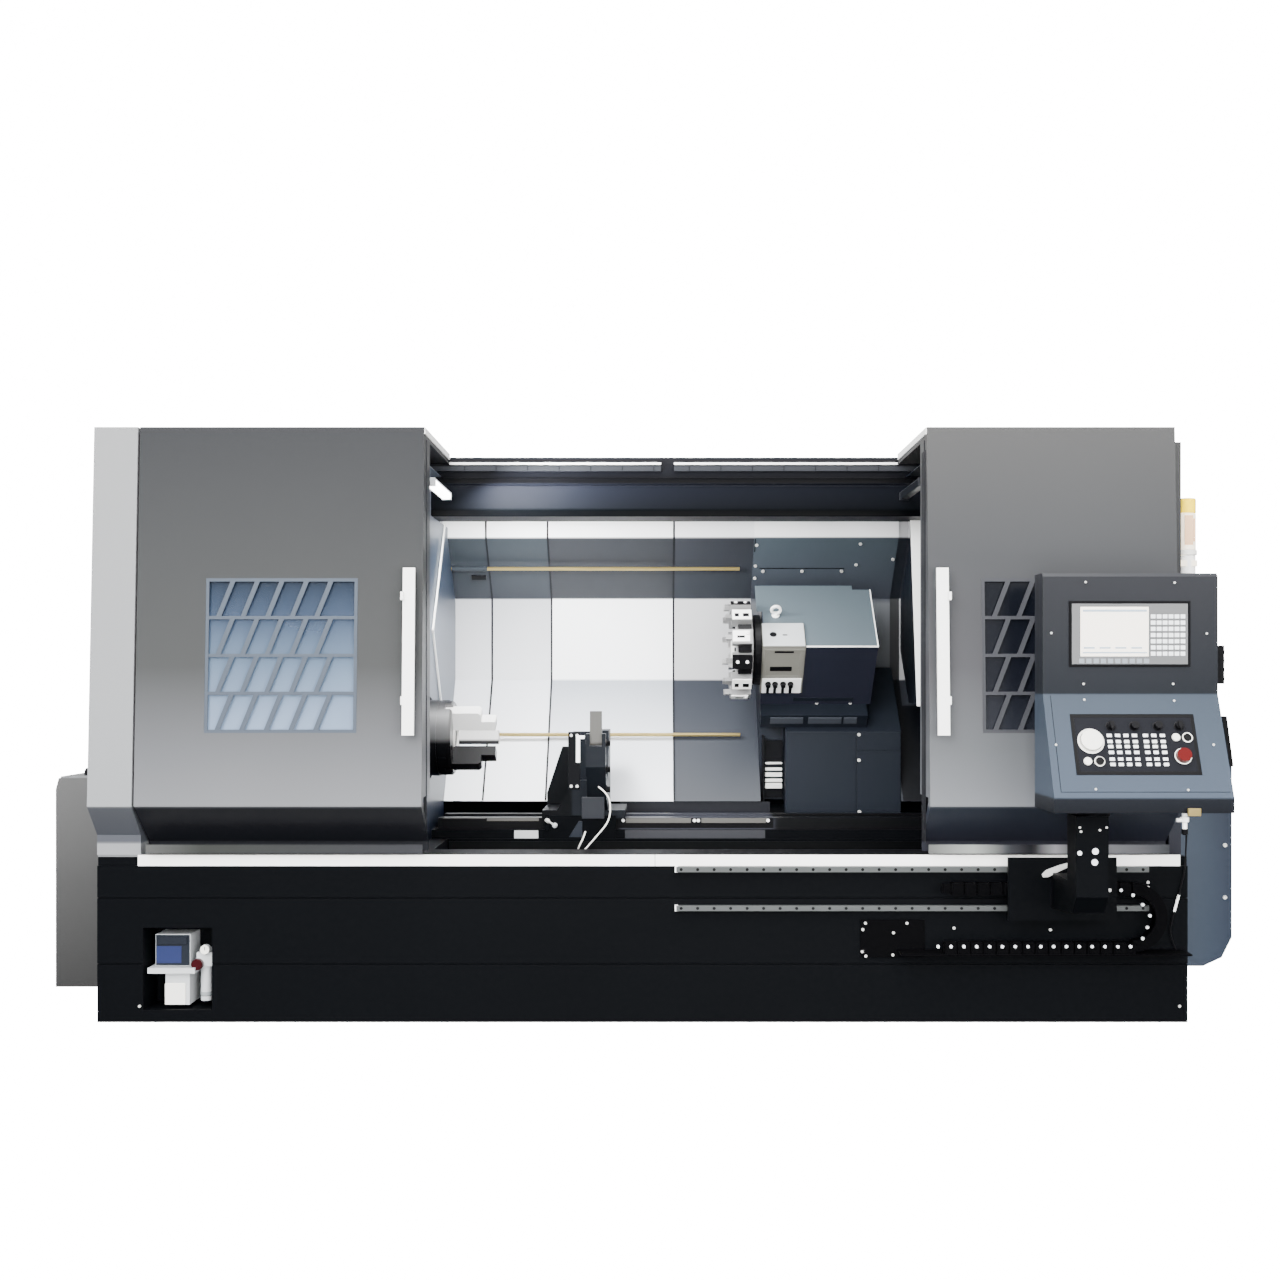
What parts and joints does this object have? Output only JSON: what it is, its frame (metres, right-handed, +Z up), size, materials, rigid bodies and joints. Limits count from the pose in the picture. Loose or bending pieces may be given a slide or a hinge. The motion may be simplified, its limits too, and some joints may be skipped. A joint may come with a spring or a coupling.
{
  "type": "cnc turning lathe",
  "caption": "Long slanted-bed turning lathe with two sliding doors, a power chuck, steady rest, disc turret, tailstock and an operator pendant on a sliding arm",
  "frame": {"origin": "on the floor at the middle of the base's footprint", "axes": "+X along the spindle axis from the headstock to the tail end, +Y from the operator into the machine, +Z up"},
  "size_m": [4.652, 2.2, 2.17],
  "materials": {
    "base_black": "textured dark paint",
    "door_grey": "fine textured grey paint",
    "light_grey": "fine textured light grey paint",
    "grille_grey": "fine textured grey paint",
    "bed_grey": "painted casting",
    "beam_grey": "semi-gloss dark paint",
    "inner_sheet": "semi-gloss blue grey paint",
    "stainless": "brushed stainless sheet",
    "ground_steel": "ground",
    "chuck_steel": "turned and ground",
    "turret_steel": "machined",
    "slate": "semi-gloss slate paint",
    "cream": "cream enamel",
    "brass_rod": "drawn",
    "handle_white": "white powder coat",
    "window_pane": "laminated",
    "lamp_white": "diffuser",
    "chain_black": "moulded",
    "pump_white": "moulded",
    "conveyor_blue": "blue grey paint",
    "pendant_dark": "fine textured dark paint",
    "screen_face": "display and keypad face",
    "dial_white": "moulded",
    "stop_red": "moulded",
    "knob_black": "moulded",
    "start_white": "moulded"
  },
  "bodies": {
    "machine": {"base_frame": "base_black", "base_skirt": "base_black", "edge_strips": "ground_steel", "slant_bed": "bed_grey", "lower_ways": "ground_steel", "headstock": "bed_grey", "left_end_cover": "light_grey", "left_cabinet": "inner_sheet", "rear_enclosure": "door_grey", "right_cabinet": "inner_sheet", "right_end_cover": "door_grey", "tail_guard": "inner_sheet", "top_beam": "beam_grey", "door_tracks": "ground_steel", "work_lights": "lamp_white", "way_cover_ends": "stainless", "cover_rods": "brass_rod", "pendant_rails": "ground_steel", "chain_tray": "chain_black", "lubricator": "pump_white", "air_unit": "pump_white", "hydraulic_unit": "light_grey", "chip_conveyor": "conveyor_blue", "signal_lamp": "lamp_white"},
    "left_door": {"left_door_panel": "door_grey", "left_door_grille": "grille_grey", "left_door_glass": "window_pane", "left_door_handle": "handle_white"},
    "right_door": {"right_door_panel": "door_grey", "right_door_grille": "grille_grey", "right_door_glass": "window_pane", "right_door_handle": "handle_white"},
    "spindle": {"spindle_shaft": "ground_steel", "chuck_body": "chuck_steel"},
    "jaw_1": {"chuck_jaw_1": "chuck_steel"},
    "jaw_2": {"chuck_jaw_2": "chuck_steel"},
    "jaw_3": {"chuck_jaw_3": "chuck_steel"},
    "saddle": {"saddle_casting": "slate", "saddle_hood": "slate", "way_cover_saddle": "stainless"},
    "middle_cover": {"way_cover_middle": "stainless"},
    "tail_cover": {"way_cover_tail": "stainless"},
    "turret_slide": {"cross_slide": "slate", "turret_housing": "slate", "turret_head": "cream"},
    "turret": {"turret_disc": "turret_steel", "tool_holders": "turret_steel"},
    "steady": {"steady_body": "slate"},
    "steady_arm": {"steady_arm": "ground_steel"},
    "tailstock": {"tailstock_body": "slate"},
    "quill": {"tailstock_quill": "ground_steel"},
    "carriage": {"pendant_carriage": "base_black"},
    "chain_loop": {"chain_bend": "chain_black"},
    "pendant": {"pendant_housing": "pendant_dark", "pendant_screen": "screen_face"},
    "handwheel": {"handwheel": "dial_white"},
    "stop_button": {"stop_button": "stop_red"},
    "feed_knob": {"feed_knob": "knob_black"},
    "speed_knob": {"speed_knob": "knob_black"},
    "start_button": {"start_button": "start_white"}
  },
  "joints": [
    {"name": "left_door_slide", "type": "slide", "parent": "machine", "child": "left_door", "axis": [1, 0, 0], "range_m": [0, 0.975]},
    {"name": "right_door_slide", "type": "slide", "parent": "machine", "child": "right_door", "axis": [-1, 0, 0], "range_m": [0, 0.835]},
    {"name": "spindle_spin", "type": "hinge", "parent": "machine", "child": "spindle", "pos_m": [0, -0.25, 1.018], "axis": [1, 0, 0], "continuous": true},
    {"name": "jaw_1_slide", "type": "slide", "parent": "spindle", "child": "jaw_1", "axis": [0, -0.5, 0.866], "range_m": [-0.004, 0.008]},
    {"name": "jaw_2_slide", "type": "slide", "parent": "spindle", "child": "jaw_2", "axis": [0, -0.5, -0.866], "range_m": [-0.004, 0.008]},
    {"name": "jaw_3_slide", "type": "slide", "parent": "spindle", "child": "jaw_3", "axis": [0, 1, 0], "range_m": [-0.004, 0.008]},
    {"name": "saddle_slide", "type": "slide", "parent": "machine", "child": "saddle", "axis": [1, 0, 0], "range_m": [-0.68, 0.14]},
    {"name": "middle_cover_slide", "type": "slide", "parent": "machine", "child": "middle_cover", "axis": [1, 0, 0], "range_m": [-0.385, 0.085]},
    {"name": "tail_cover_slide", "type": "slide", "parent": "machine", "child": "tail_cover", "axis": [1, 0, 0], "range_m": [-0.38, 0.08]},
    {"name": "cross_slide_feed", "type": "slide", "parent": "saddle", "child": "turret_slide", "axis": [0, -0.7071, -0.7071], "range_m": [0, 0.3]},
    {"name": "turret_index", "type": "hinge", "parent": "turret_slide", "child": "turret", "pos_m": [0, 0.11275, 1.38075], "axis": [1, 0, 0], "continuous": true},
    {"name": "steady_slide", "type": "slide", "parent": "machine", "child": "steady", "axis": [1, 0, 0], "range_m": [-0.15, 0.4]},
    {"name": "steady_arm_swing", "type": "hinge", "parent": "steady", "child": "steady_arm", "pos_m": [0, -0.45, 1.01], "axis": [1, 0, 0], "range_deg": [-80, 0]},
    {"name": "tailstock_slide", "type": "slide", "parent": "machine", "child": "tailstock", "axis": [1, 0, 0], "range_m": [-0.3, 0.15]},
    {"name": "quill_slide", "type": "slide", "parent": "tailstock", "child": "quill", "axis": [1, 0, 0], "range_m": [-0.12, 0]},
    {"name": "pendant_slide", "type": "slide", "parent": "machine", "child": "carriage", "axis": [1, 0, 0], "range_m": [-1.222, 0.127]},
    {"name": "chain_loop_slide", "type": "slide", "parent": "machine", "child": "chain_loop", "axis": [1, 0, 0], "range_m": [-0.612, 0.064]},
    {"name": "pendant_swivel", "type": "hinge", "parent": "carriage", "child": "pendant", "pos_m": [1.547, -1.195, 0.79], "axis": [0, 0, 1], "range_deg": [-60, 5]},
    {"name": "handwheel_spin", "type": "hinge", "parent": "pendant", "child": "handwheel", "pos_m": [1.516, -1.26938, 1.04443], "axis": [0, -0.9171, 0.3987], "continuous": true},
    {"name": "stop_press", "type": "slide", "parent": "pendant", "child": "stop_button", "axis": [0, -0.9171, 0.3987], "range_m": [0, 0.004], "stiffness_N_per_m": 200},
    {"name": "start_press", "type": "slide", "parent": "pendant", "child": "start_button", "axis": [0, -0.9171, 0.3987], "range_m": [0, 0.003], "stiffness_N_per_m": 200},
    {"name": "feed_turn", "type": "hinge", "parent": "pendant", "child": "feed_knob", "pos_m": [1.668, -1.24785, 1.09395], "axis": [0, -0.9171, 0.3987], "range_deg": [-135, 135]},
    {"name": "speed_turn", "type": "hinge", "parent": "pendant", "child": "speed_knob", "pos_m": [1.748, -1.24785, 1.09395], "axis": [0, -0.9171, 0.3987], "range_deg": [-135, 135]}
  ],
  "couplings": [
    {"joint": "jaw_2_slide", "follows": "jaw_1_slide", "ratio": 1},
    {"joint": "jaw_3_slide", "follows": "jaw_1_slide", "ratio": 1},
    {"joint": "middle_cover_slide", "follows": "saddle_slide", "ratio": 0.56},
    {"joint": "tail_cover_slide", "follows": "saddle_slide", "ratio": 0.55},
    {"joint": "chain_loop_slide", "follows": "pendant_slide", "ratio": 0.5}
  ]
}
